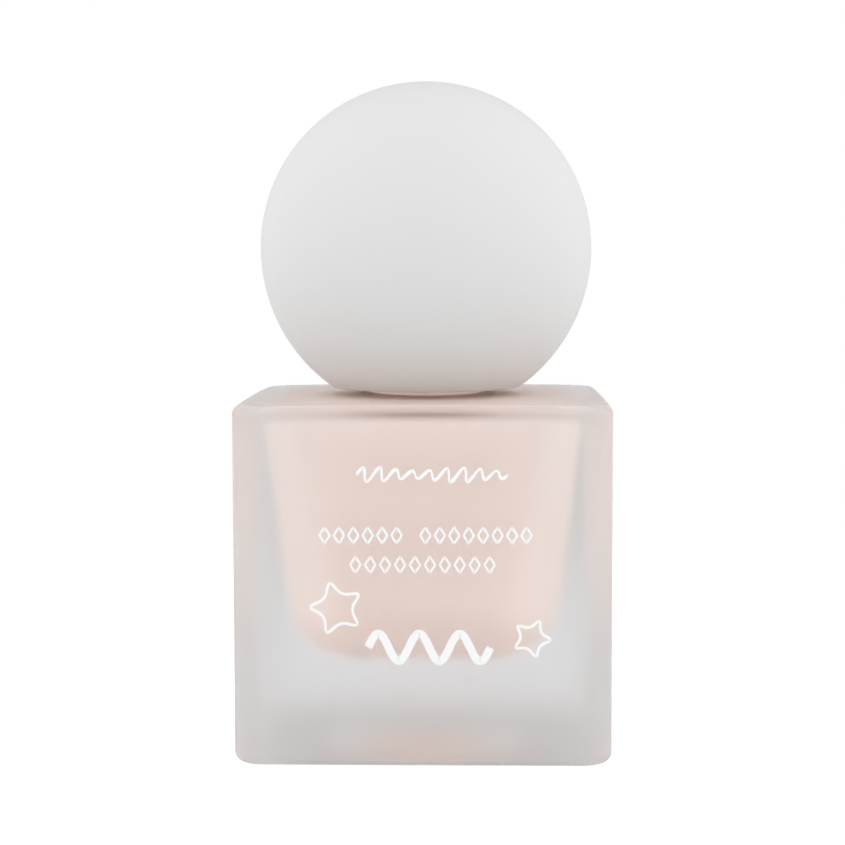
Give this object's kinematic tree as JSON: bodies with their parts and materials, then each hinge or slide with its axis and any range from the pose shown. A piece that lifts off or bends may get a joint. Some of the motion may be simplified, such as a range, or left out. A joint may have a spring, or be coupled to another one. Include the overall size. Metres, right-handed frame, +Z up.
{
  "type": "foundation bottle",
  "caption": "Square frosted glass bottle with a tapered inner well of liquid foundation, a press-down dispensing pump on its screw neck and a large ball-shaped overcap.",
  "frame": {"origin": "middle of the bottle's base, on the plane it stands on", "axes": "+Z up along the neck, the pump and the ball cap; -Y towards the printed front, where the pump's spout points at rest; +X to the right as seen from the front"},
  "size_m": [0.045, 0.045, 0.082],
  "materials": {
    "frosted_glass": "satin",
    "foundation": "satin",
    "cap_paint": "matte",
    "liner_polypropylene": "satin",
    "white_polypropylene": "satin",
    "natural_polypropylene": "satin",
    "piston_polyethylene": "satin",
    "gasket_foam": "matte",
    "stainless_steel": "polished",
    "print_ink": "satin"
  },
  "bodies": {
    "bottle": {"bottle": "frosted_glass", "foundation_fill": "foundation"},
    "pump": {"pump_housing": "natural_polypropylene", "neck_gasket": "gasket_foam", "dip_tube": "natural_polypropylene", "stem_guide": "white_polypropylene", "return_spring": "stainless_steel"},
    "inlet_valve": {"inlet_ball": "stainless_steel"},
    "plunger": {"piston": "piston_polyethylene"},
    "head": {"pump_stem": "white_polypropylene", "piston_shaft": "white_polypropylene", "pump_head": "white_polypropylene", "nozzle_insert": "white_polypropylene"},
    "collar": {"screw_collar": "white_polypropylene"},
    "cap": {"cap_lower_shell": "cap_paint", "cap_upper_shell": "cap_paint", "cap_liner": "liner_polypropylene"}
  },
  "joints": [
    {"name": "pump_lift", "type": "slide", "parent": "bottle", "child": "pump", "axis": [0, 0, 1], "range_m": [0, 0.0032]},
    {"name": "collar_spin", "type": "hinge", "parent": "pump", "child": "collar", "pos_m": [0, 0, 0.0613], "axis": [0, 0, 1], "range_deg": [0, 540]},
    {"name": "cap_lift", "type": "slide", "parent": "collar", "child": "cap", "axis": [0, 0, 1], "range_m": [0, 0.04]},
    {"name": "pump_press", "type": "slide", "parent": "pump", "child": "plunger", "axis": [0, 0, 1], "range_m": [-0.0036, 0], "stiffness_N_per_m": 600, "springref_m": 0.002, "deforming": ["return_spring"]},
    {"name": "head_turn", "type": "hinge", "parent": "plunger", "child": "head", "pos_m": [0, 0, 0.0724], "axis": [0, 0, 1], "continuous": true},
    {"name": "inlet_ball_lift", "type": "slide", "parent": "pump", "child": "inlet_valve", "axis": [0, 0, 1], "range_m": [0, 0.0008]}
  ],
  "couplings": [
    {"joint": "pump_lift", "follows": "collar_spin", "m_per_rad": 0.00033693}
  ]
}
